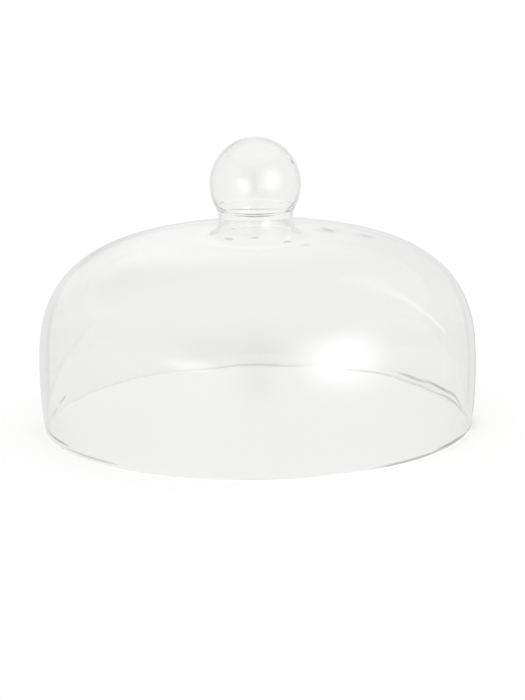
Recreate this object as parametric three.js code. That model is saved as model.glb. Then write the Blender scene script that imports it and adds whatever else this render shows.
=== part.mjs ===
// Cake dome of clear blown glass: a bell with a short neck, a glass ring and a hollow ball to lift it by.
// Millimetres, +Z up. The dome stands on its rim at z = 0, with its axis on the Z axis.
import * as THREE from 'three';

// Bell
const BELL_DIAMETER = 260;      // outside, at the widest part of the wall
const RIM_DIAMETER = 256;       // outside, just above the rounded lip
const BELLY_HEIGHT = 37;        // height of the widest part
const CROWN_HEIGHT = 114;       // outside of the crown, carried on to the axis
const SHOULDER_POWER = 3.5;     // superellipse power across the shoulder
const CROWN_POWER = 2.6;        // superellipse power up the shoulder
const BELL_WALL = 3;            // glass at the rim and the belly, thinning towards the neck
const LIP_ROUND = 0.9;          // fire-polished edges of the rim
const ROUND_LIMIT = 0.45;       // a round edge takes at most this share of its wall

// Neck
const NECK_DIAMETER = 44;       // outside, at the waist
const NECK_WALL = 1.5;          // glass of the neck
const NECK_HEIGHT = 16;         // from the crown to the seat of the ring
const WAIST_DROP = 3.5;         // from the seat down to the waist
const FLARE_WIDTH = 14;         // how far the foot of the neck spreads over the crown
const FLARE_HUG = 0.25;         // share of that width where the foot turns up into the neck
const FLARE_LIFT = 0.17;        // share of the height to the waist that the turn takes

// Ring between the neck and the ball
const RING_THICKNESS = 1.5;
const RING_INSET = 0.3;         // how far its edge lies behind the foot of the ball
const RING_ROUND = 0.4;         // rounded edge

// Ball
const BALL_WIDTH = 53.8;
const BALL_HEIGHT = 56;         // of the whole ball, before its foot is cut flat
const BALL_WALL = 1.3;
const FOOT_ANGLE = 28.6;        // degrees below the equator where the foot is cut

// Fineness of the turned faces
const BELL_SEGMENTS = 64;
const KNOB_SEGMENTS = 48;
const WALL_STEPS = 4;
const SHOULDER_STEPS = 13;
const FLARE_STEPS = 9;
const NECK_STEPS = 2;
const ROUND_STEPS = 3;
const BALL_STEPS = 13;

// Places that follow from the sizes
const seatHeight = CROWN_HEIGHT + NECK_HEIGHT;
const waistHeight = seatHeight - WAIST_DROP;
const footHeight = seatHeight + RING_THICKNESS;
const footAngle = THREE.MathUtils.degToRad(FOOT_ANGLE);
const footRadius = BALL_WIDTH / 2 * Math.cos(footAngle);
const footDrop = BALL_HEIGHT / 2 * Math.sin(footAngle);
const ringRadius = footRadius - RING_INSET;
const seatRadius = ringRadius - RING_INSET;
const bellyRadius = BELL_DIAMETER / 2;
const rimRadius = RIM_DIAMETER / 2;
const waistRadius = NECK_DIAMETER / 2;
const lipRound = Math.min(LIP_ROUND, ROUND_LIMIT * BELL_WALL);
const ringRound = Math.min(RING_ROUND, ROUND_LIMIT * RING_THICKNESS);

function point(radius, height) {
  return new THREE.Vector2(radius, height);
}

// Points of a round edge from angle start to angle end, in quarter turns
function roundEdge(centreRadius, centreHeight, size, start, end) {
  const points = [];
  for (let i = 0; i <= ROUND_STEPS; i++) {
    const angle = (start + (end - start) * i / ROUND_STEPS) * Math.PI / 2;
    points.push(point(centreRadius + size * Math.cos(angle), centreHeight + size * Math.sin(angle)));
  }
  return points;
}

// The wall bows out from the rim to the belly
function wallPoints() {
  const points = [];
  for (let i = 0; i < WALL_STEPS; i++) {
    const share = i / WALL_STEPS;
    const radius = rimRadius + (bellyRadius - rimRadius) * Math.sin(share * Math.PI / 2);
    points.push(point(radius, lipRound + (BELLY_HEIGHT - lipRound) * share));
  }
  return points;
}

// The shoulder is a superellipse from the belly to the foot of the neck
function shoulderPoints() {
  const points = [];
  const end = Math.acos(Math.pow((waistRadius + FLARE_WIDTH) / bellyRadius, SHOULDER_POWER / 2));
  for (let i = 0; i <= SHOULDER_STEPS; i++) {
    const angle = end * i / SHOULDER_STEPS;
    const radius = bellyRadius * Math.pow(Math.cos(angle), 2 / SHOULDER_POWER);
    const rise = (CROWN_HEIGHT - BELLY_HEIGHT) * Math.pow(Math.sin(angle), 2 / CROWN_POWER);
    points.push(point(radius, BELLY_HEIGHT + rise));
  }
  return points;
}

// The neck leaves the crown in a flare, narrows to its waist and opens to its seat
function neckPoints(crownEnd) {
  const waist = point(waistRadius, waistHeight);
  const flare = new THREE.CubicBezierCurve(
    crownEnd,
    point(waistRadius + FLARE_HUG * FLARE_WIDTH, crownEnd.y),
    point(waistRadius, crownEnd.y + FLARE_LIFT * (waistHeight - crownEnd.y)),
    waist,
  );
  const lift = new THREE.QuadraticBezierCurve(
    waist,
    point(waistRadius, (waistHeight + seatHeight) / 2),
    point(seatRadius, seatHeight),
  );
  return [...flare.getPoints(FLARE_STEPS).slice(1), ...lift.getPoints(NECK_STEPS).slice(1)];
}

// The points moved into the glass along the normals of their face, by the wall at each of them
function innerSide(points, walls) {
  return points.map((place, i) => {
    const before = points[Math.max(i - 1, 0)];
    const after = points[Math.min(i + 1, points.length - 1)];
    const along = after.clone().sub(before).normalize();
    return point(place.x - walls[i] * along.y, place.y + walls[i] * along.x);
  });
}

// Both faces of the bell from the lip up to the seat
function bellFaces() {
  const wall = wallPoints();
  const shoulder = shoulderPoints();
  const neck = neckPoints(shoulder[shoulder.length - 1]);
  const outside = [...wall, ...shoulder, ...neck];
  const inside = innerSide(outside, [
    ...wall.map(() => BELL_WALL),
    ...shoulder.map((_, i) => THREE.MathUtils.lerp(BELL_WALL, NECK_WALL, i / SHOULDER_STEPS)),
    ...neck.map(() => NECK_WALL),
  ]);
  inside[inside.length - 1].y = seatHeight;
  return { outside, inside };
}

// Turns a profile of radius and height about the Z axis
function turned(profile, segments) {
  return new THREE.LatheGeometry(profile, segments).rotateX(Math.PI / 2);
}

function bellGeometry() {
  const { outside, inside } = bellFaces();
  const outerEdge = roundEdge(rimRadius - lipRound, lipRound, lipRound, -1, 0);
  const innerEdge = roundEdge(rimRadius - BELL_WALL + lipRound, lipRound, lipRound, -2, -1);
  const profile = [...outerEdge.slice(0, -1), ...outside, ...inside.slice(1).reverse(), ...innerEdge];
  profile.push(profile[0].clone());
  return turned(profile, BELL_SEGMENTS);
}

// The ring's hole runs on from the inside of the neck to the inside of the ball
function ringGeometry() {
  const core = ringRadius - ringRound;
  const profile = [
    point(bellFaces().inside.at(-1).x, seatHeight),
    ...roundEdge(core, seatHeight + ringRound, ringRound, -1, 0),
    ...roundEdge(core, footHeight - ringRound, ringRound, 0, 1),
    point(ballFace(BALL_WALL)[0].x, footHeight),
  ];
  profile.push(profile[0].clone());
  return turned(profile, KNOB_SEGMENTS);
}

// One face of the ball as an ellipse from the foot to the top, set in from the outside by inset
function ballFace(inset) {
  const points = [];
  const halfHeight = BALL_HEIGHT / 2 - inset;
  const start = -Math.asin(footDrop / halfHeight);
  for (let i = 0; i < BALL_STEPS; i++) {
    const angle = start + (Math.PI / 2 - start) * i / BALL_STEPS;
    const rise = i === 0 ? -footDrop : halfHeight * Math.sin(angle);
    points.push(point((BALL_WIDTH / 2 - inset) * Math.cos(angle), footHeight + footDrop + rise));
  }
  points.push(point(0, footHeight + footDrop + halfHeight));
  return points;
}

function ballGeometry() {
  return turned([...ballFace(BALL_WALL).reverse(), ...ballFace(0)], KNOB_SEGMENTS);
}

function piece(name, geometry, color) {
  const material = new THREE.MeshStandardMaterial({
    color, roughness: 0.03, metalness: 0, transparent: true, opacity: 0.35,
  });
  const mesh = new THREE.Mesh(geometry, material);
  mesh.name = name;
  return mesh;
}

const dome = new THREE.Group();
dome.add(
  piece('bell', bellGeometry(), 0xf0f0ee),
  piece('joining_ring', ringGeometry(), 0xe6e7e2),
  piece('knob_ball', ballGeometry(), 0xeeeeec),
);

export default dome;
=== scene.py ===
"""Cake dome of clear blown glass: a turned bell with a short neck, a glass ring and a hollow ball.

Every length is in metres, in the frame of the solids: +Z up, with the rim standing at z = 0.
"""
import math

import bpy
from bpy.props import FloatProperty, FloatVectorProperty, IntProperty, PointerProperty
from mathutils import Matrix, Vector


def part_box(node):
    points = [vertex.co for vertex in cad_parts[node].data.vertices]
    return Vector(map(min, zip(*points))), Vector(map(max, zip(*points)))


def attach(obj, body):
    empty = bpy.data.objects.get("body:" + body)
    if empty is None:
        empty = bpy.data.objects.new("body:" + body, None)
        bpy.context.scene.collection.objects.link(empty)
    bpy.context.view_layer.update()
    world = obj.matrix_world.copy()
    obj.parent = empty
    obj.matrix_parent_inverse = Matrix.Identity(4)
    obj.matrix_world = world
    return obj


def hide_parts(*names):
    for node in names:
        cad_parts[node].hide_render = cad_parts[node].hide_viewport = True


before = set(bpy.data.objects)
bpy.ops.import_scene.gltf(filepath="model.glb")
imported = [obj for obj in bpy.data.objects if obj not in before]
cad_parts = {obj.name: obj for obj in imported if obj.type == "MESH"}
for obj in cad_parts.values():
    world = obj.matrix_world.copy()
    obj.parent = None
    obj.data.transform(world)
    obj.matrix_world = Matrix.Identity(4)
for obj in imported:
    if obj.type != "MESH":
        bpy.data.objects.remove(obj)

bl_info = {
    "name": "Cake Dome",
    "version": (1, 0, 0),
    "blender": (4, 5, 0),
    "location": "View3D > Sidebar > Cake Dome",
    "description": "Builds a clear blown glass cake dome on a white ground",
    "category": "Object",
}

PHOTO_HEIGHT = 700  # pixels along the long side of the picture
SENSOR = 36.0  # millimetres along the same side
CLIP_END = 100.0  # farthest that the camera sees
BOUNCES = 256  # most bounces of light

BELL_LOW, BELL_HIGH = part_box("bell")
RING_LOW, RING_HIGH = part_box("joining_ring")
BALL_LOW, BALL_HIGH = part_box("knob_ball")

# Steps along the profiles
WALL_STEPS = 24
SHOULDER_STEPS = 72
FLARE_STEPS = 36
NECK_STEPS = 8
BALL_STEPS = 90
ROUND_STEPS = 8

# How fast the unevenness sets in above the rim and the foot of the ball, and ends up the neck
RIM_FADE = 4.0
FOOT_FADE = 8.0
FLARE_FADE = 3.0
# Share of the unevenness that the outer faces have
BELL_OUTER_WAVE = 0.35
BALL_OUTER_WAVE = 0.4

CORNER = math.radians(20.0)  # a profile that turns by more than this has a corner
CORNER_GAP = 0.00002  # from a corner to the points beside it
CARRIER_RADIUS = 1.0  # of the circle that carries a profile round
WELD = 1e-6  # points closer than this become one
LEVEL = 0.999  # upward part of a normal from which a face counts as level
WAVE_STRETCH = (0.6, 0.6, 1.3)
RIPPLE_STRETCH = (0.4, 0.4, 1.6)

RIPPLE_SIZES = {"bell_glass": 0.012, "ring_glass": 0.006, "ball_glass": 0.008}
PATCH_SCALE = 14.0  # patches of tint in a metre
HAZE_SCALE = 55.0  # patches of haze in a metre
HAZE_RANGE = (0.45, 0.8)  # noise between which the haze sets in
HAZE_ROUGHNESS = 0.02
SHADE_MARK_CORE = 0.4  # share of a mark's half lengths that is evenly dark


def length(name, description, default):
    """A property that holds a length."""
    return FloatProperty(
        name=name, description=description, default=default, subtype="DISTANCE", unit="LENGTH", precision=5,
    )


def angle(name, description, degrees):
    """A property that holds an angle, written here in degrees."""
    return FloatProperty(
        name=name, description=description, default=math.radians(degrees), subtype="ANGLE", unit="ROTATION",
    )


def share(name, description, default, high=1.0):
    """A property that holds a plain factor."""
    return FloatProperty(name=name, description=description, default=default, min=0.0, soft_max=high)


def count(name, description, default, low=0):
    """A property that holds a whole number."""
    return IntProperty(name=name, description=description, default=default, min=low)


def colour(name, description, default):
    """A property that holds a colour."""
    return FloatVectorProperty(
        name=name, description=description, default=default, subtype="COLOR", size=3, min=0.0, max=1.0,
    )


class BellSizes(bpy.types.PropertyGroup):
    """Sizes of the bell and its neck."""

    diameter: length("Diameter", "Outside, at the belly", BELL_HIGH.x - BELL_LOW.x)
    rim_diameter: length("Rim diameter", "Outside, just above the lip", 0.256)
    belly_height: length("Belly height", "Height of the widest part", 0.037)
    crown_height: length("Crown height", "Outside of the crown, carried on to the axis", 0.114)
    shoulder_power: share("Shoulder power", "Superellipse power across the shoulder", 3.5, 8.0)
    crown_power: share("Crown power", "Superellipse power up the shoulder", 2.6, 8.0)
    wall: length("Wall", "Thickness of the glass at the rim and the belly", 0.003)
    neck_wall: length("Neck wall", "Thickness of the glass at the neck", 0.0015)
    lip_round: length("Lip round", "Fire-polished edges of the rim", 0.0009)
    neck_diameter: length("Neck diameter", "Outside, at the waist", 0.044)
    waist_drop: length("Waist drop", "From the seat down to the waist", 0.0035)
    flare_width: length("Flare width", "How far the foot of the neck spreads", 0.014)
    flare_hug: share("Flare hug", "Share of that width where the foot turns up into the neck", 0.25)
    flare_lift: share("Flare lift", "Share of the height to the waist that the turn takes", 0.17)
    seat_height: length("Seat height", "Top of the neck", BELL_HIGH.z)
    seat_inset: length("Seat inset", "How far the neck lies behind the ring", 0.0003)
    wave_height: length("Wave height", "Unevenness of the blown wall", 0.00012)
    wave_length: length("Wave length", "Size of the unevenness", 0.03)
    wave_seed: count("Wave seed", "Chooses the unevenness", 4)
    segments: count("Segments", "Steps around the bell", 360, 12)


class KnobSizes(bpy.types.PropertyGroup):
    """Sizes of the ball and the ring under it."""

    ball_width: length("Ball width", "Outside, at the equator", BALL_HIGH.x - BALL_LOW.x)
    ball_top: length("Ball top", "Highest point of the ball", BALL_HIGH.z)
    ball_foot: length("Ball foot", "Height where the ball is cut flat", BALL_LOW.z)
    foot_angle: angle("Foot angle", "Where the foot is cut, below the equator", 28.6)
    ball_wall: length("Ball wall", "Thickness of the glass", 0.0013)
    ring_diameter: length("Ring diameter", "Outside", RING_HIGH.x - RING_LOW.x)
    ring_round: length("Ring round", "Rounded edge", 0.0004)
    seam: length("Seam", "Film of air in the join above and below the ring", 0.00003)
    fused_behind: length("Fused behind", "How far behind the axis the ring's edge is fused smooth", 0.004)
    wave_height: length("Wave height", "Unevenness of the blown wall", 0.00008)
    wave_length: length("Wave length", "Size of the unevenness", 0.014)
    wave_seed: count("Wave seed", "Chooses the unevenness", 7)
    segments: count("Segments", "Steps around the ball", 192, 12)


class GlassLooks(bpy.types.PropertyGroup):
    """Finish of the glass."""

    tint: colour("Tint", "Light that one wall of the bell lets through", (0.953, 0.953, 0.944))
    tint_thick: colour("Tint in patches", "The same where the glass is thicker", (0.941, 0.942, 0.932))
    tint_neck: colour("Tint of the neck", "The same for the thin glass of the neck", (0.984, 0.984, 0.979))
    tint_ball: colour("Tint of the ball", "The same for the ball and the ring", (0.972, 0.973, 0.966))
    index: share("Refractive index", "Bending of light by the glass", 1.5, 2.0)
    ripple: length("Ripple", "Height of the fine ripples", 0.00001)


class StageLooks(bpy.types.PropertyGroup):
    """Ground, light and camera."""

    ground: colour("Ground", "Colour of the ground", (0.99, 0.99, 0.99))
    ground_size: length("Ground size", "Side of the ground", 12.0)
    ground_gap: length("Ground gap", "How far the ground lies under the rim", 0.0002)
    ground_shine: length("Ground in mirror", "How far from the axis the glass mirrors the ground", 0.126)
    ground_fade: length("Ground fade", "Over which length that ends", 0.012)
    light: share("Light", "Brightness of the white surroundings", 1.015, 2.0)
    distance: length("Camera distance", "From the axis, along the ground", 2.0)
    height: length("Camera height", "Above the ground", 0.54397)
    side: length("Camera side step", "To the right of the axis", 0.002978)
    pitch: angle("Camera pitch", "Downward look", math.degrees(0.2450))
    roll: angle("Camera roll", "Lean of the camera", math.degrees(-0.0136))
    focal_pixels: share("Focal length", "In pixels of the picture", 3454.39, 6000.0)


class DomeSettings(bpy.types.PropertyGroup):
    """Everything that can be set on the dome."""

    bell: PointerProperty(type=BellSizes)
    knob: PointerProperty(type=KnobSizes)
    glass: PointerProperty(type=GlassLooks)
    stage: PointerProperty(type=StageLooks)


# Profiles: lists of (radius, height, wave) from which the glass is turned

def round_edge(radius, height, size, start, end):
    """A round edge about a centre, between two angles given in quarter turns."""
    points = []
    for i in range(ROUND_STEPS + 1):
        turned = (start + (end - start) * i / ROUND_STEPS) * math.pi / 2
        points.append((radius + size * math.cos(turned), height + size * math.sin(turned), 0.0))
    return points


def bend(corners, steps):
    """A smooth curve that is led by its corners, without its first point."""
    points = []
    for i in range(1, steps + 1):
        row = list(corners)
        t = i / steps
        while len(row) > 1:
            row = [(p[0] + (q[0] - p[0]) * t, p[1] + (q[1] - p[1]) * t) for p, q in zip(row, row[1:])]
        points.append(row[0])
    return points


def bell_outside(bell, knob):
    """Outer face of the bell from the lip to the seat: lists of points, wall thicknesses and waves."""
    rim, belly, waist = bell.rim_diameter / 2, bell.diameter / 2, bell.neck_diameter / 2
    waist_height = bell.seat_height - bell.waist_drop
    seat_radius = knob.ring_diameter / 2 - bell.seat_inset
    points, walls, waves = [], [], []
    for i in range(WALL_STEPS):
        t = i / WALL_STEPS
        radius = rim + (belly - rim) * math.sin(t * math.pi / 2)
        points.append((radius, bell.lip_round + (bell.belly_height - bell.lip_round) * t))
        walls.append(bell.wall)
        waves.append(min(1.0, RIM_FADE * t))
    last = math.acos(((waist + bell.flare_width) / belly) ** (bell.shoulder_power / 2))
    for i in range(SHOULDER_STEPS + 1):
        turned = last * i / SHOULDER_STEPS
        radius = belly * math.cos(turned) ** (2 / bell.shoulder_power)
        rise = (bell.crown_height - bell.belly_height) * math.sin(turned) ** (2 / bell.crown_power)
        points.append((radius, bell.belly_height + rise))
        walls.append(bell.wall + (bell.neck_wall - bell.wall) * i / SHOULDER_STEPS)
        waves.append(1.0)
    before, foot = points[-2:]
    slope = (foot[1] - before[1]) / (foot[0] - before[0])
    turn_up = waist + bell.flare_hug * bell.flare_width
    points += bend((
        foot,
        (turn_up, foot[1] + slope * (turn_up - foot[0])),
        (waist, foot[1] + bell.flare_lift * (waist_height - foot[1])),
        (waist, waist_height),
    ), FLARE_STEPS)
    points += bend((
        (waist, waist_height),
        (waist, (waist_height + bell.seat_height) / 2),
        (seat_radius, bell.seat_height),
    ), NECK_STEPS)
    walls += [bell.neck_wall] * (FLARE_STEPS + NECK_STEPS)
    waves += [min(1.0, FLARE_FADE * (1 - i / FLARE_STEPS)) for i in range(1, FLARE_STEPS + 1)]
    waves += [0.0] * NECK_STEPS
    return points, walls, waves


def inner_side(points, walls):
    """The points set in from a face along its normals by the thickness of the wall."""
    inner = []
    for i, (radius, height) in enumerate(points):
        before, after = points[max(i - 1, 0)], points[min(i + 1, len(points) - 1)]
        along = Vector((after[0] - before[0], after[1] - before[1])).normalized()
        inner.append((radius - walls[i] * along.y, height + walls[i] * along.x))
    return inner


def bell_profile(bell, knob):
    """Closed outline of the bell's glass."""
    points, walls, waves = bell_outside(bell, knob)
    inner = inner_side(points, walls)
    inner[0] = (points[0][0] - bell.wall, points[0][1])
    inner[-1] = (inner[-1][0], points[-1][1])
    outside = [(*p, BELL_OUTER_WAVE * w) for p, w in zip(points, waves)]
    inside = [(*p, w) for p, w in zip(inner, waves)][::-1]
    rim = bell.rim_diameter / 2
    lip = bell.lip_round
    outer_edge = round_edge(rim - lip, lip, lip, -1, 0)[:-1]
    inner_edge = round_edge(rim - bell.wall + lip, lip, lip, -2, -1)[1:]
    return outer_edge + outside + inside + inner_edge


def neck_hole(bell, knob):
    """Inner radius of the neck at its seat."""
    points, walls, waves = bell_outside(bell, knob)
    return inner_side(points, walls)[-1][0]


def foot_hole(knob):
    """Inner radius of the ball at its foot."""
    return ball_face(knob, knob.ball_wall, 0.0)[0][0]


def ring_profile(bell, knob):
    """Closed outline of the ring, whose hole runs on from the inside of the neck to that of the ball."""
    edge = knob.ring_round
    core = knob.ring_diameter / 2 - edge
    low, high = bell.seat_height + knob.seam, knob.ball_foot - knob.seam
    lower_edge = round_edge(core, low + edge, edge, -1, 0)
    upper_edge = round_edge(core, high - edge, edge, 0, 1)
    return [(neck_hole(bell, knob), low, 0.0)] + lower_edge + upper_edge + [(foot_hole(knob), high, 0.0)]


def ball_face(knob, inset, wave):
    """One face of the ball from its foot to its top."""
    half_height = (knob.ball_top - knob.ball_foot) / (1 + math.sin(knob.foot_angle))
    drop = half_height * math.sin(knob.foot_angle)
    half_height -= inset
    radius = knob.ball_width / 2 - inset
    start = -math.asin(drop / half_height)
    points = []
    for i in range(BALL_STEPS + 1):
        turned = start + (math.pi / 2 - start) * i / BALL_STEPS
        fade = min(1.0, FOOT_FADE * i / BALL_STEPS)
        across = radius * math.cos(turned) if i < BALL_STEPS else 0.0
        points.append((across, knob.ball_foot + drop + half_height * math.sin(turned), wave * fade))
    return points


def ball_profile(knob):
    """Outline of the ball's glass from the axis inside to the axis outside."""
    inside = ball_face(knob, knob.ball_wall, 1.0)[::-1]
    fused = (knob.ring_diameter / 2 - knob.ring_round, knob.ball_foot, 0.0)
    return inside + [fused] + ball_face(knob, 0.0, BALL_OUTER_WAVE)


def crisp(profile, closed):
    """The profile with a point close to each side of its corners, so that smooth shading stops there."""
    points = []
    for i, here in enumerate(profile):
        ends = not closed and i in (0, len(profile) - 1)
        before, after = profile[i - 1], profile[(i + 1) % len(profile)]
        come = Vector((here[0] - before[0], here[1] - before[1]))
        leave = Vector((after[0] - here[0], after[1] - here[1]))
        if ends or come.angle(leave, 0.0) < CORNER:
            points.append(here)
            continue
        back, on = come.normalized() * CORNER_GAP, leave.normalized() * CORNER_GAP
        points.append((here[0] - back.x, here[1] - back.y, here[2]))
        points.append(here)
        points.append((here[0] + on.x, here[1] + on.y, here[2]))
    return points


# Nodes

def fill(tree, node, inputs):
    """Gives a node its inputs by name or number: values, outputs, or nodes for the output that they use."""
    for key, value in inputs.items():
        if isinstance(value, bpy.types.Node):
            value = next(output for output in value.outputs if output.enabled)
        if isinstance(value, bpy.types.NodeSocket):
            tree.links.new(value, node.inputs[key])
        else:
            node.inputs[key].default_value = value


def add(tree, kind, inputs=None, **settings):
    """A new node with its settings and inputs."""
    node = tree.nodes.new(kind)
    for key, value in settings.items():
        setattr(node, key, value)
    fill(tree, node, inputs or {})
    return node


def calculate(tree, operation, *values):
    """A node that calculates with numbers."""
    return add(tree, "ShaderNodeMath", dict(enumerate(values)), operation=operation)


def vector(tree, operation, *values):
    """A node that calculates with vectors."""
    return add(tree, "ShaderNodeVectorMath", dict(enumerate(values)), operation=operation)


def scaled(tree, value, factor):
    """A node that makes a vector longer or shorter."""
    return add(tree, "ShaderNodeVectorMath", {0: value, "Scale": factor}, operation="SCALE")


def axis_distance(tree, place):
    """A node that gives the distance of a place from the Z axis."""
    return vector(tree, "LENGTH", vector(tree, "MULTIPLY", place, (1.0, 1.0, 0.0)))


def smooth_step(tree, value, low, high, at_low=0.0, at_high=1.0):
    """A node that goes smoothly from one number to another while a value rises."""
    return add(tree, "ShaderNodeMapRange", {
        "Value": value, "From Min": low, "From Max": high, "To Min": at_low, "To Max": at_high,
    }, interpolation_type="SMOOTHSTEP")


def node_group(name, kind, inputs, outputs):
    """A new group with its named sockets, the outputs of its input node, and its output node."""
    tree = bpy.data.node_groups.new(name, kind)
    for in_out, sockets in (("OUTPUT", outputs), ("INPUT", inputs)):
        for socket, holds in sockets.items():
            tree.interface.new_socket(socket, in_out=in_out, socket_type="NodeSocket" + holds)
    given = tree.nodes.new("NodeGroupInput")
    return tree, given.outputs, tree.nodes.new("NodeGroupOutput")


def new_material(name, values):
    """A material whose Principled shader has these values, its node tree and that shader."""
    material = bpy.data.materials.new(name)
    material.use_nodes = True
    tree = material.node_tree
    shader = tree.nodes["Principled BSDF"]
    fill(tree, shader, values)
    return material, tree, shader


# The turning tree

def blown_offset(tree, given, place, normal):
    """A node that gives the way from the turned face to the uneven face of blown glass."""
    noise = add(tree, "ShaderNodeTexNoise", {
        "Vector": vector(tree, "MULTIPLY", place, WAVE_STRETCH),
        "W": given["Wave seed"],
        "Scale": calculate(tree, "DIVIDE", 1.0, given["Wave length"]),
        "Detail": 1.0,
    }, noise_dimensions="4D")
    centred = add(tree, "ShaderNodeMapRange", {"Value": noise, "To Min": -1.0, "To Max": 1.0}, clamp=False)
    weight = add(tree, "GeometryNodeInputNamedAttribute", {"Name": "wave"}, data_type="FLOAT")
    weighted = calculate(tree, "MULTIPLY", centred, weight)
    return scaled(tree, normal, calculate(tree, "MULTIPLY", weighted, given["Wave height"]))


def fused_faces(tree, given, place, normal):
    """A node that chooses the faces in a join, and the edge of the join behind the axis."""
    facing = add(tree, "ShaderNodeSeparateXYZ", {"Vector": normal}).outputs
    spot = add(tree, "ShaderNodeSeparateXYZ", {"Vector": place}).outputs
    radius = axis_distance(tree, place)
    beyond = calculate(tree, "GREATER_THAN", radius, given["Join inside"])
    level = calculate(tree, "GREATER_THAN", calculate(tree, "ABSOLUTE", facing["Z"]), LEVEL)
    within = calculate(tree, "LESS_THAN", radius, given["Join outside"])
    seat_face = calculate(tree, "MULTIPLY", level, within)
    above = calculate(tree, "GREATER_THAN", spot["Z"], given["Join low"])
    below = calculate(tree, "LESS_THAN", spot["Z"], given["Join high"])
    behind = calculate(tree, "GREATER_THAN", spot["Y"], given["Fused behind"])
    back_edge = calculate(tree, "MULTIPLY", calculate(tree, "MULTIPLY", above, below), behind)
    return calculate(tree, "MULTIPLY", beyond, calculate(tree, "MAXIMUM", seat_face, back_edge))


def turning_tree():
    """Geometry nodes that turn a profile about the Z axis and give the glass its blown unevenness."""
    tree, given, out = node_group("turned_glass", "GeometryNodeTree", {
        "Geometry": "Geometry", "Segments": "Int", "Wave height": "Float", "Wave length": "Float",
        "Wave seed": "Int", "Join inside": "Float", "Join outside": "Float", "Join low": "Float",
        "Join high": "Float", "Fused behind": "Float", "Material": "Material", "Join material": "Material",
    }, {"Geometry": "Geometry"})
    outline = add(tree, "GeometryNodeMeshToCurve", {"Mesh": given["Geometry"]})
    path = add(tree, "GeometryNodeCurvePrimitiveCircle", {
        "Radius": CARRIER_RADIUS, "Resolution": given["Segments"],
    })
    turned = add(tree, "GeometryNodeCurveToMesh", {"Curve": path, "Profile Curve": outline})
    welded = add(tree, "GeometryNodeMergeByDistance", {"Geometry": turned, "Distance": WELD})
    outward = add(tree, "GeometryNodeFlipFaces", {"Mesh": welded})
    place = add(tree, "GeometryNodeInputPosition").outputs["Position"]
    normal = add(tree, "GeometryNodeInputNormal").outputs["Normal"]
    moved = add(tree, "GeometryNodeSetPosition", {
        "Geometry": outward, "Offset": blown_offset(tree, given, place, normal),
    })
    smooth = add(tree, "GeometryNodeSetShadeSmooth", {"Geometry": moved})
    real = add(tree, "GeometryNodeRealizeInstances", {"Geometry": smooth})
    coated = add(tree, "GeometryNodeSetMaterial", {"Geometry": real, "Material": given["Material"]})
    fused = add(tree, "GeometryNodeSetMaterial", {
        "Geometry": coated,
        "Selection": fused_faces(tree, given, place, normal),
        "Material": given["Join material"],
    })
    fill(tree, out, {"Geometry": fused})
    return tree


def socket_id(tree, name):
    """Identifier of a named input of a tree."""
    for item in tree.interface.items_tree:
        if item.item_type == "SOCKET" and item.in_out == "INPUT" and item.name == name:
            return item.identifier
    raise RuntimeError(f"the tree {tree.name} has no input {name}")


def turn(name, profile, closed, values):
    """Turns a profile into a finished piece."""
    profile = crisp(profile, closed)
    mesh = bpy.data.meshes.new(name + "_profile")
    points = [(radius - CARRIER_RADIUS, -height, 0.0) for radius, height, wave in profile]
    edges = [(i, i + 1) for i in range(len(points) - 1)]
    if closed:
        edges.append((len(points) - 1, 0))
    mesh.from_pydata(points, edges, [])
    weights = mesh.attributes.new("wave", "FLOAT", "POINT")
    weights.data.foreach_set("value", [wave for radius, height, wave in profile])
    outline = bpy.data.objects.new(name + "_profile", mesh)
    bpy.context.scene.collection.objects.link(outline)
    tree = bpy.data.node_groups.get("turned_glass") or turning_tree()
    modifier = outline.modifiers.new("Turned glass", "NODES")
    modifier.node_group = tree
    for key, value in values.items():
        modifier[socket_id(tree, key)] = value
    ready = outline.evaluated_get(bpy.context.evaluated_depsgraph_get())
    finished = bpy.data.meshes.new_from_object(ready)
    finished.name = name
    outline.modifiers.remove(modifier)
    bpy.data.objects.remove(outline)
    if not finished.polygons:
        raise RuntimeError(f"turning {name} gave no faces")
    piece = bpy.data.objects.new(name, finished)
    piece.visible_glossy = False
    bpy.context.scene.collection.objects.link(piece)
    return piece


def blown(sizes):
    """Values of the turning tree for the fineness and the unevenness of a piece."""
    return {
        "Segments": sizes.segments,
        "Wave height": sizes.wave_height,
        "Wave length": sizes.wave_length,
        "Wave seed": sizes.wave_seed,
    }


def join(knob, inside, outside, low, high):
    """Values of the turning tree for the place where a piece is fused to the next one."""
    return {
        "Join inside": inside,
        "Join outside": outside,
        "Join low": low,
        "Join high": high,
        "Fused behind": knob.fused_behind,
        "Join material": fused_glass(),
    }


def seat(piece, node):
    """Lets a piece stand for its solid."""
    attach(piece, "root")
    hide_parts(node)


# Glass

def blown_surface():
    """Node group: the fine unevenness that a blown and fire-polished surface keeps."""
    group = bpy.data.node_groups.get("blown_surface")
    if group:
        return group
    group, given, out = node_group(
        "blown_surface", "ShaderNodeTree", {"Place": "Vector", "Ripple size": "Float"},
        {"Ripples": "Float", "Thickness": "Float", "Haze": "Float"},
    )
    place = given["Place"]
    ripples = add(group, "ShaderNodeTexNoise", {
        "Vector": vector(group, "MULTIPLY", place, RIPPLE_STRETCH),
        "Scale": calculate(group, "DIVIDE", 1.0, given["Ripple size"]),
        "Detail": 2.0,
    })
    thickness = add(group, "ShaderNodeTexNoise", {"Vector": place, "Scale": PATCH_SCALE, "Detail": 2.0})
    haze = add(group, "ShaderNodeTexNoise", {"Vector": place, "Scale": HAZE_SCALE, "Detail": 4.0})
    fill(group, out, {"Ripples": ripples, "Thickness": thickness, "Haze": haze})
    return group
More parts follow.
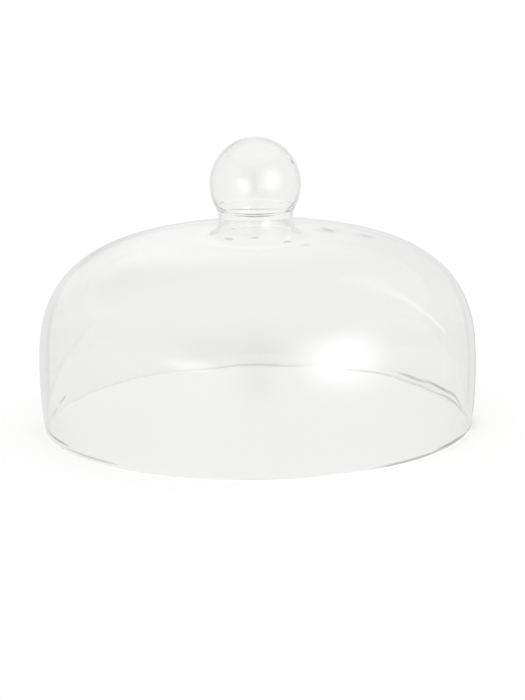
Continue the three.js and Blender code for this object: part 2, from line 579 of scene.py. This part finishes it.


# Painted shade in the colour of the glass, on the camera's side: dark lines at the creases and seams of the
# knob and at the foot of the neck, dark dashes on the crown, and one painted dark reflection on the ball
# (seed). Centre, half lengths, turn in degrees, share of the light they stop
KNOB_PAINTED_SHADE = (
    ("shade_line_waist", (-0.0010, -0.0195, 0.13385), (0.0185, 0.0090, 0.00040), (-12.4, 0.0, 0.0), 0.65),
    ("shade_above_ring", (0.0, -0.0233, 0.1315), (0.0190, 0.0140, 0.00050), (0.0, 0.0, 0.0), 0.7),
    ("shade_below_ring", (0.0, -0.0233, 0.1300), (0.0175, 0.0120, 0.00045), (0.0, 0.0, 0.0), 0.6),
    ("shade_left_high", (-0.0236, -0.0090, 0.1357), (0.0036, 0.0012, 0.0007), (0.0, 43.5, -50.9), 0.65),
    ("shade_left_low", (-0.0189, -0.0145, 0.1331), (0.0062, 0.0014, 0.0006), (0.0, 7.7, -48.9), 0.65),
    ("shade_right_high", (0.0226, -0.0118, 0.1362), (0.0026, 0.0012, 0.0006), (0.0, -25.0, 62.0), 0.65),
    ("shade_right_mid", (0.0208, -0.0135, 0.1341), (0.0040, 0.0014, 0.0008), (0.0, -25.0, 57.0), 0.7),
    ("shade_right_low", (0.0188, -0.0139, 0.1312), (0.0025, 0.0014, 0.0007), (0.0, -10.0, 53.0), 0.6),
    # seed: a painted dark reflection on the right of the ball
    ("seed", (0.0219, -0.0072, 0.1593), (0.0022, 0.0014, 0.0010), (0.0, 59.0, 0.0), 0.85),
)

BELL_PAINTED_SHADE = (
    ("shade_below_ring", (0.0, -0.0233, 0.1300), (0.0175, 0.0120, 0.00045), (0.0, 0.0, 0.0), 0.6),
    ("foot_shade_left", (-0.0158, -0.0194, 0.1161), (0.0046, 0.0020, 0.0009), (0.0, 0.0, -39.0), 0.4),
    ("foot_shade_front", (-0.0005, -0.0238, 0.1175), (0.0034, 0.0020, 0.0007), (0.0, 0.0, 0.0), 0.35),
    ("foot_shade_right", (0.0182, -0.0219, 0.1144), (0.0046, 0.0022, 0.0009), (0.0, 0.0, 40.0), 0.4),
    ("crown_shade_front", (0.0298, -0.0268, 0.1135), (0.0045, 0.0040, 0.0020), (0.0, 0.0, 40.0), 0.2),
    ("crown_shade_behind", (0.0436, 0.0157, 0.1130), (0.0120, 0.0110, 0.0030), (0.0, 0.0, 20.0), 0.16),
    ("crown_shade_right", (0.0654, 0.0066, 0.1110), (0.0100, 0.0090, 0.0030), (0.0, 0.0, 0.0), 0.14),
    ("crown_line_behind", (0.0430, 0.0157, 0.1130), (0.0100, 0.0028, 0.0030), (0.0, 0.0, -66.0), 0.4),
    ("crown_line_right", (0.0660, 0.0066, 0.1110), (0.0070, 0.0032, 0.0030), (0.0, 0.0, -35.0), 0.3),
)

# Painted shade along the rim: dark lines where the ends of the lip and the waves of the back rim look dark
# through the wall, and a faint one laid over a bright line behind. Azimuth (0 is the camera's side, 90 the
# right), height, half length, half height, tilt in degrees, share of the light they stop
RIM_PAINTED_SHADE = (
    ("lip_right_corner", 84.0, 0.0018, 0.0300, 0.0022, 0.0, 0.65),
    ("lip_right", 64.0, 0.0018, 0.0340, 0.0012, 0.0, 0.6),
    ("lip_right_front", 44.0, 0.0010, 0.0420, 0.0009, 0.0, 0.45),
    ("lip_left_corner", 276.0, 0.0045, 0.0240, 0.0016, 0.0, 0.7),
    ("lip_left", 291.0, 0.0040, 0.0300, 0.0010, 0.0, 0.6),
    ("lip_left_front", 309.0, 0.0022, 0.0380, 0.0009, 0.0, 0.35),
    ("back_rim_shade_low_start", 146.0, 0.0000, 0.0320, 0.0009, 0.0, 0.45),
    ("back_rim_shade_low", 127.0, -0.0002, 0.0380, 0.0010, 0.0, 0.5),
    ("back_rim_shade_low_end", 106.0, 0.0004, 0.0380, 0.0010, 0.0, 0.5),
    ("back_rim_shade_high_start", 129.0, 0.0032, 0.0220, 0.0008, 0.0, 0.5),
    ("back_rim_shade_high", 114.0, 0.0044, 0.0320, 0.0009, 0.0, 0.6),
    ("back_rim_shade_high_end", 101.0, 0.0032, 0.0240, 0.0009, -8.0, 0.6),
    ("line_behind", 184.0, 0.0004, 0.0560, 0.0008, 0.0, 0.2),
    ("line_behind_left", 222.0, 0.0006, 0.0800, 0.0009, 0.0, 0.08),
    ("squiggle_low", 264.0, 0.0036, 0.0130, 0.0010, 2.0, 0.55),
    ("squiggle_high", 254.0, 0.0058, 0.0120, 0.0011, 8.0, 0.55),
)


def rim_shade_marks(bell):
    """The painted shade along the rim in the form of the other painted shade marks."""
    radius = (bell.rim_diameter - bell.wall) / 2
    marks = []
    for name, azimuth, height, half_length, half_height, tilt, stopped in RIM_PAINTED_SHADE:
        centre = direction(azimuth, 0.0) * radius
        depth = bell.wall + half_length ** 2 / radius / 2
        half = (half_length, depth, half_height)
        marks.append((name, (centre.x, centre.y, height), half, (0.0, tilt, azimuth), stopped))
    return marks


def painted_shade_marks(name, marks):
    """Node group: the share of the light that passes the painted shade marks, dark lines and spots painted
    into the colour of the glass.
    """
    group = bpy.data.node_groups.get(name)
    if group:
        return group
    group, given, out = node_group(name, "ShaderNodeTree", {"Place": "Vector"}, {"Passed": "Float"})
    passed = None
    for mark, centre, half, turned, stopped in marks:
        local = add(group, "ShaderNodeMapping", {
            "Vector": given["Place"],
            "Location": centre,
            "Rotation": [math.radians(value) for value in turned],
            "Scale": half,
        }, vector_type="TEXTURE", name=mark)
        away = vector(group, "LENGTH", local)
        shade = smooth_step(group, away, SHADE_MARK_CORE, 1.0, 1.0 - stopped)
        passed = calculate(group, "MULTIPLY", passed, shade) if passed else shade
    fill(group, out, {"Passed": passed})
    return group


def clear_glass(name, glass, thin_tint, thin_inside, painted_shade_group):
    """Clear glass with a trace of tint, haze and ripple, in another tint within a distance of the axis, and
    with painted shade marks multiplied into its colour.
    """
    material, tree, shader = new_material(name, {
        "Metallic": 0.0, "Transmission Weight": 1.0, "IOR": glass.index,
    })
    place = add(tree, "ShaderNodeTexCoord").outputs["Object"]
    surface = add(tree, "ShaderNodeGroup", {
        "Place": place, "Ripple size": RIPPLE_SIZES[name],
    }, node_tree=blown_surface()).outputs
    tint = add(tree, "ShaderNodeMix", {
        "Factor": surface["Thickness"], "A": (*glass.tint, 1.0), "B": (*glass.tint_thick, 1.0),
    }, data_type="RGBA")
    thick = smooth_step(tree, axis_distance(tree, place), thin_inside, 2 * thin_inside)
    thinning = add(tree, "ShaderNodeMix", {
        "Factor": thick, "A": (*thin_tint, 1.0), "B": tint,
    }, data_type="RGBA")
    # Painted shade: dark lines and spots that darken the colour of the glass
    marks = add(tree, "ShaderNodeGroup", {"Place": place}, node_tree=painted_shade_group)
    polish = add(tree, "ShaderNodeMapRange", {
        "Value": surface["Haze"], "From Min": HAZE_RANGE[0], "From Max": HAZE_RANGE[1],
        "To Min": 0.0, "To Max": HAZE_ROUGHNESS,
    })
    bump = add(tree, "ShaderNodeBump", {
        "Strength": 1.0, "Distance": glass.ripple, "Height": surface["Ripples"],
    })
    fill(tree, shader, {
        "Base Color": scaled(tree, thinning, marks), "Roughness": polish, "Normal": bump,
    })
    return material


def fused_glass():
    """The inside of a hot join, where light passes from glass to glass and isn't bent."""
    material = bpy.data.materials.get("fused_glass")
    if material:
        return material
    return new_material("fused_glass", {
        "Base Color": (1.0, 1.0, 1.0, 1.0), "Metallic": 0.0, "Roughness": 0.0,
        "Transmission Weight": 1.0, "IOR": 1.0,
    })[0]


class CAKEDOME_OT_bell(bpy.types.Operator):
    """Turn the bell: rim, wall, shoulder, crown and neck in one wall of glass"""

    bl_idname = "cakedome.bell"
    bl_label = "Bell"

    def execute(self, context):
        settings = context.scene.cake_dome
        bell, knob, glass = settings.bell, settings.knob, settings.glass
        # Painted shade at the foot of the neck, on the crown and along the rim
        painted_shade_group = painted_shade_marks("bell_painted_shade", [*BELL_PAINTED_SHADE, *rim_shade_marks(bell)])
        piece = turn("bell_glass", bell_profile(bell, knob), True, {
            **blown(bell),
            **join(
                knob, neck_hole(bell, knob), knob.ring_diameter / 2,
                bell.seat_height - knob.seam, knob.ball_foot + knob.seam,
            ),
            "Material": clear_glass("bell_glass", glass, glass.tint_neck, bell.neck_diameter / 2, painted_shade_group),
        })
        seat(piece, "bell")
        return {"FINISHED"}


class CAKEDOME_OT_ring(bpy.types.Operator):
    """Turn the glass ring that joins the ball to the neck"""

    bl_idname = "cakedome.ring"
    bl_label = "Ring"

    def execute(self, context):
        settings = context.scene.cake_dome
        bell, knob, glass = settings.bell, settings.knob, settings.glass
        # Painted shade at the creases and seams of the knob
        painted_shade_group = painted_shade_marks("knob_painted_shade", KNOB_PAINTED_SHADE)
        piece = turn("ring_glass", ring_profile(bell, knob), True, {
            **blown(knob),
            **join(
                knob, max(neck_hole(bell, knob), foot_hole(knob)), knob.ring_diameter / 2 - knob.ring_round,
                bell.seat_height, knob.ball_foot,
            ),
            "Wave height": 0.0,
            "Material": clear_glass("ring_glass", glass, glass.tint_ball, bell.neck_diameter, painted_shade_group),
        })
        seat(piece, "joining_ring")
        return {"FINISHED"}


class CAKEDOME_OT_ball(bpy.types.Operator):
    """Turn the hollow ball that the dome is lifted by"""

    bl_idname = "cakedome.ball"
    bl_label = "Ball"

    def execute(self, context):
        settings = context.scene.cake_dome
        knob, glass = settings.knob, settings.glass
        # Painted shade at the creases and seams of the knob
        painted_shade_group = painted_shade_marks("knob_painted_shade", KNOB_PAINTED_SHADE)
        piece = turn("ball_glass", ball_profile(knob), False, {
            **blown(knob),
            **join(
                knob, foot_hole(knob), knob.ring_diameter / 2 - knob.ring_round,
                knob.ball_foot - knob.seam, knob.ball_foot + knob.seam,
            ),
            "Material": clear_glass("ball_glass", glass, glass.tint_ball, knob.ball_width, painted_shade_group),
        })
        seat(piece, "knob_ball")
        return {"FINISHED"}


# Stage

def direction(azimuth, elevation):
    """Unit vector towards a place in the room: azimuth 0 is the camera's side, 90 the right."""
    a, e = math.radians(azimuth), math.radians(elevation)
    return Vector((math.sin(a) * math.cos(e), -math.cos(a) * math.cos(e), math.sin(e)))


def soft_patch():
    """Node group: mask of a soft-edged rectangle."""
    group = bpy.data.node_groups.get("soft_patch")
    if group:
        return group
    group, given, out = node_group("soft_patch", "ShaderNodeTree", {
        "Look": "Vector", "Forward": "Vector", "Right": "Vector", "Up": "Vector",
        "Half width": "Float", "Half height": "Float", "Softness": "Float",
    }, {"Mask": "Float"})

    def side(axis, half):
        spread = calculate(group, "ABSOLUTE", vector(group, "DOT_PRODUCT", given["Look"], given[axis]))
        inner = calculate(group, "SUBTRACT", given[half], given["Softness"])
        outer = calculate(group, "ADD", given[half], given["Softness"])
        return smooth_step(group, spread, inner, outer, 1.0, 0.0)

    along = vector(group, "DOT_PRODUCT", given["Look"], given["Forward"])
    ahead = calculate(group, "GREATER_THAN", along, 0.0)
    both = calculate(group, "MULTIPLY", side("Right", "Half width"), side("Up", "Half height"))
    fill(group, out, {"Mask": calculate(group, "MULTIPLY", both, ahead)})
    return group


def patch_mask(tree, look, forward, right, up, sizes):
    """A node that masks a soft-edged rectangle. Its sizes are half width, half height and softness."""
    return add(tree, "ShaderNodeGroup", {
        "Look": look, "Forward": forward, "Right": right, "Up": up,
        **dict(zip(("Half width", "Half height", "Softness"), sizes)),
    }, node_tree=soft_patch())


# Brightness of the studio in front of the dome and behind it, and the share of the look towards the back
# between which it changes
FRONT_LEVEL = 0.6
BACK_LEVEL = 0.85
BACK_RANGE = (0.2, 0.85)

# What the glass mirrors: azimuth, elevation, half width, half height and softness in degrees, brightness
MIRRORED = (
    ("white_wall_left_back", -164.0, 17.0, 16.0, 13.0, 9.0, 1.2),
    ("grey_side_left", -122.0, 8.0, 20.0, 26.0, 12.0, 0.78),
    ("grey_side_right", 126.0, 6.0, 20.0, 26.0, 12.0, 0.8),
    ("grey_upper_left", -142.0, 40.0, 16.0, 9.0, 7.0, 0.55),
    ("dark_floor_behind", 177.0, -14.0, 11.0, 7.0, 5.0, 0.55),
    ("dim_above_camera", -12.0, 36.0, 22.0, 11.0, 9.0, 0.08),
    ("dark_camera_side", 0.0, 14.0, 7.0, 22.0, 7.0, 0.03),
    ("pale_front_left", -35.0, 14.0, 11.0, 3.0, 5.0, 0.85),
    ("pale_front_right", 44.5, 15.0, 16.0, 19.0, 15.0, 0.85),
)

# A thin curved strip of light: azimuth, elevation, half width and brightness along it
STRIP = (
    (157.0, 45.0, 4.5, 1.15),
    (141.0, 46.0, 4.0, 1.25),
    (127.0, 41.0, 2.4, 1.5),
    (116.0, 27.0, 1.1, 1.85),
    (116.0, 14.0, 0.9, 1.95),
    (119.0, 4.0, 0.8, 2.0),
)

# Soft boxes, so close to the glass that a view from behind doesn't mirror them at a flat angle: name, piece
# that mirrors them, azimuth and elevation that they stand in, centre, half width, half height and softness,
# brightness
SOFT_BOXES = (
    ("bell_right", "bell_glass", 44.5, 15.0, (0.0871, -0.1595, 0.0864), (0.0350, 0.0330, 0.0330), 2.0),
    ("bell_left", "bell_glass", -35.0, 14.0, (-0.0690, -0.1697, 0.0802), (0.0241, 0.0054, 0.0095), 1.0),
    ("ball_right", "ball_glass", 44.5, 15.0, (0.0302, -0.0448, 0.1597), (0.0124, 0.0157, 0.0122), 1.2),
    ("ball_left", "ball_glass", -35.0, 14.0, (-0.0243, -0.0489, 0.1584), (0.0086, 0.0035, 0.0055), 0.65),
)

WATTS_PER_AREA = 4.0  # power of an area lamp that looks white, for each square metre
FIRST_BOUNCE = 0.5  # a number of bounces above this is one or more


def patches():
    """The mirrored patches: name, forward, right, sizes, brightness."""
    found = []
    for name, azimuth, elevation, half_width, half_height, softness, brightness in MIRRORED:
        sizes = [math.sin(math.radians(size)) for size in (half_width, half_height, softness)]
        forward, right = direction(azimuth, elevation), direction(azimuth + 90.0, 0.0)
        found.append((name, forward, right, sizes, brightness))
    for i, (start, end) in enumerate(zip(STRIP, STRIP[1:])):
        first, second = direction(*start[:2]), direction(*end[:2])
        half_height = math.sin(math.radians((start[2] + end[2]) / 2))
        half_width = (second - first).length / 2 + half_height / 2
        sizes = (half_width, half_height, half_height)
        forward, right = (first + second).normalized(), (second - first).normalized()
        found.append((f"strip_{i}", forward, right, sizes, (start[3] + end[3]) / 2))
    return found


def mirrored_light(tree):
    """A node that gives 1 for light that a glass face has mirrored into the camera, 0 for other light."""
    path = add(tree, "ShaderNodeLightPath").outputs
    mirrored = calculate(tree, "GREATER_THAN", path["Glossy Depth"], FIRST_BOUNCE)
    direct = calculate(tree, "LESS_THAN", path["Diffuse Depth"], FIRST_BOUNCE)
    return calculate(tree, "MULTIPLY", mirrored, direct)


def outer_face(tree):
    """A node that gives 1 for light that the outer face mirrors, before it has entered the glass."""
    path = add(tree, "ShaderNodeLightPath").outputs
    return calculate(tree, "LESS_THAN", path["Transmission Depth"], FIRST_BOUNCE)


def surroundings(stage):
    """White all round, with a studio that only mirrored light sees."""
    world = bpy.data.worlds.new("white_studio")
    world.use_nodes = True
    tree = world.node_tree
    look = add(tree, "ShaderNodeTexCoord").outputs["Generated"]
    parts = add(tree, "ShaderNodeSeparateXYZ", {"Vector": look}).outputs
    level = smooth_step(tree, parts["Y"], *BACK_RANGE, FRONT_LEVEL, BACK_LEVEL)
    for name, forward, right, sizes, brightness in patches():
        seen = patch_mask(tree, look, forward, right, right.cross(forward), sizes)
        seen.name = name
        if name.startswith("strip"):
            seen = calculate(tree, "MULTIPLY", seen, outer_face(tree))
        level = add(tree, "ShaderNodeMix", {"Factor": seen, "A": level, "B": brightness}, data_type="FLOAT")
    choice = add(tree, "ShaderNodeMix", {
        "Factor": mirrored_light(tree), "A": stage.light, "B": level,
    }, data_type="FLOAT")
    fill(tree, tree.nodes["Background"], {"Color": (1.0, 1.0, 1.0, 1.0), "Strength": choice})
    bpy.context.scene.world = world


def box_lamp(name, sizes, brightness):
    """An area lamp that fades out towards its edge. Its sizes are half width, half height and softness."""
    half_width, half_height, softness = sizes
    lamp = bpy.data.lights.new(name, "AREA")
    lamp.shape = "RECTANGLE"
    lamp.size = 2.0 * (half_width + softness)
    lamp.size_y = 2.0 * (half_height + softness)
    lamp.energy = WATTS_PER_AREA * lamp.size * lamp.size_y * brightness
    lamp.use_nodes = True
    tree = lamp.node_tree
    place = add(tree, "ShaderNodeNewGeometry").outputs["Parametric"]
    look = vector(
        tree, "MULTIPLY_ADD", place,
        (lamp.size, lamp.size_y, 0.0), (-lamp.size / 2.0, -lamp.size_y / 2.0, 1.0),
    )
    axes = Matrix.Identity(3)
    mask = patch_mask(tree, look, forward=axes[2], right=axes[0], up=axes[1], sizes=sizes)
    fill(tree, tree.nodes["Emission"], {"Strength": mask})
    return lamp


def soft_boxes():
    """The soft boxes, which only mirrored light sees, each in its own piece of glass."""
    for name, piece, azimuth, elevation, place, sizes, brightness in SOFT_BOXES:
        name = "soft_box_" + name
        box = bpy.data.objects.new(name, box_lamp(name, sizes, brightness))
        box.location = place
        box.rotation_euler = direction(azimuth, elevation).to_track_quat("Z", "Y").to_euler()
        box.visible_camera = False
        box.visible_diffuse = False
        box.visible_transmission = False
        box.visible_volume_scatter = False
        mirrors = bpy.data.collections.new(name)
        mirrors.objects.link(bpy.data.objects[piece])
        box.light_linking.receiver_collection = mirrors
        bpy.context.scene.collection.objects.link(box)


def ground(stage):
    """The white ground under the dome. Away from the rim the glass mirrors the studio instead of it."""
    half = stage.ground_size / 2
    corners = [(-half, -half), (half, -half), (half, half), (-half, half)]
    mesh = bpy.data.meshes.new("ground")
    mesh.from_pydata([(x, y, -stage.ground_gap) for x, y in corners], [], [(0, 1, 2, 3)])
    material, tree, shader = new_material("white_ground", {
        "Base Color": (*stage.ground, 1.0), "Roughness": 1.0, "Specular IOR Level": 0.0,
    })
    away = vector(tree, "LENGTH", add(tree, "ShaderNodeTexCoord").outputs["Object"])
    far = smooth_step(tree, away, stage.ground_shine, stage.ground_shine + stage.ground_fade)
    blend = add(tree, "ShaderNodeMixShader", {
        "Fac": calculate(tree, "MULTIPLY", far, mirrored_light(tree)),
        1: shader,
        2: add(tree, "ShaderNodeBsdfTransparent"),
    })
    fill(tree, tree.nodes["Material Output"], {"Surface": blend})
    mesh.materials.append(material)
    plane = bpy.data.objects.new("ground", mesh)
    bpy.context.scene.collection.objects.link(plane)


def camera(stage):
    """The camera at the photograph's place."""
    data = bpy.data.cameras.new("camera")
    data.sensor_width = SENSOR
    data.lens = stage.focal_pixels * SENSOR / PHOTO_HEIGHT
    data.clip_end = CLIP_END
    ahead = Vector((0.0, math.cos(stage.pitch), -math.sin(stage.pitch)))
    up = Vector((0.0, math.sin(stage.pitch), math.cos(stage.pitch)))
    right = Vector((1.0, 0.0, 0.0))
    across = math.cos(stage.roll) * right + math.sin(stage.roll) * up
    upward = math.cos(stage.roll) * up - math.sin(stage.roll) * right
    turned = Matrix((across, upward, -ahead)).transposed().to_4x4()
    view = bpy.data.objects.new("camera", data)
    view.matrix_world = Matrix.Translation((stage.side, -stage.distance, stage.height)) @ turned
    bpy.context.scene.collection.objects.link(view)
    bpy.context.scene.camera = view


def light_paths(scene):
    """Lets light bounce often enough to leave the wall that it runs along, and keeps the glass sharp."""
    scene.cycles.max_bounces = BOUNCES
    scene.cycles.glossy_bounces = BOUNCES
    scene.cycles.transmission_bounces = BOUNCES
    scene.cycles.blur_glossy = 0.0


class CAKEDOME_OT_stage(bpy.types.Operator):
    """Set up the white ground, the light and the camera"""

    bl_idname = "cakedome.stage"
    bl_label = "Stage"

    def execute(self, context):
        stage = context.scene.cake_dome.stage
        ground(stage)
        surroundings(stage)
        soft_boxes()
        camera(stage)
        light_paths(context.scene)
        context.scene.view_settings.view_transform = "Standard"
        return {"FINISHED"}


class VIEW3D_PT_cake_dome(bpy.types.Panel):
    """Sizes and looks of the cake dome"""

    bl_label = "Cake Dome"
    bl_space_type = "VIEW_3D"
    bl_region_type = "UI"
    bl_category = "Cake Dome"

    def draw(self, context):
        settings = context.scene.cake_dome
        for title in ("bell", "knob", "glass", "stage"):
            box = self.layout.box()
            box.label(text=title.capitalize())
            group = getattr(settings, title)
            for key in group.__annotations__:
                box.prop(group, key)
        for operator in STEPS:
            self.layout.operator(operator.bl_idname)


STEPS = (CAKEDOME_OT_bell, CAKEDOME_OT_ring, CAKEDOME_OT_ball, CAKEDOME_OT_stage)
CLASSES = (BellSizes, KnobSizes, GlassLooks, StageLooks, DomeSettings, *STEPS, VIEW3D_PT_cake_dome)


def register():
    """Adds the settings, the operators and the panel."""
    for cls in CLASSES:
        bpy.utils.register_class(cls)
    bpy.types.Scene.cake_dome = PointerProperty(type=DomeSettings)


def unregister():
    """Takes them away again."""
    del bpy.types.Scene.cake_dome
    for cls in reversed(CLASSES):
        bpy.utils.unregister_class(cls)


def main():
    """Builds the dome and its stage."""
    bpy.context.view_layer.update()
    register()
    bpy.ops.cakedome.bell()
    bpy.ops.cakedome.ring()
    bpy.ops.cakedome.ball()
    bpy.ops.cakedome.stage()


if __name__ == "__main__":
    main()
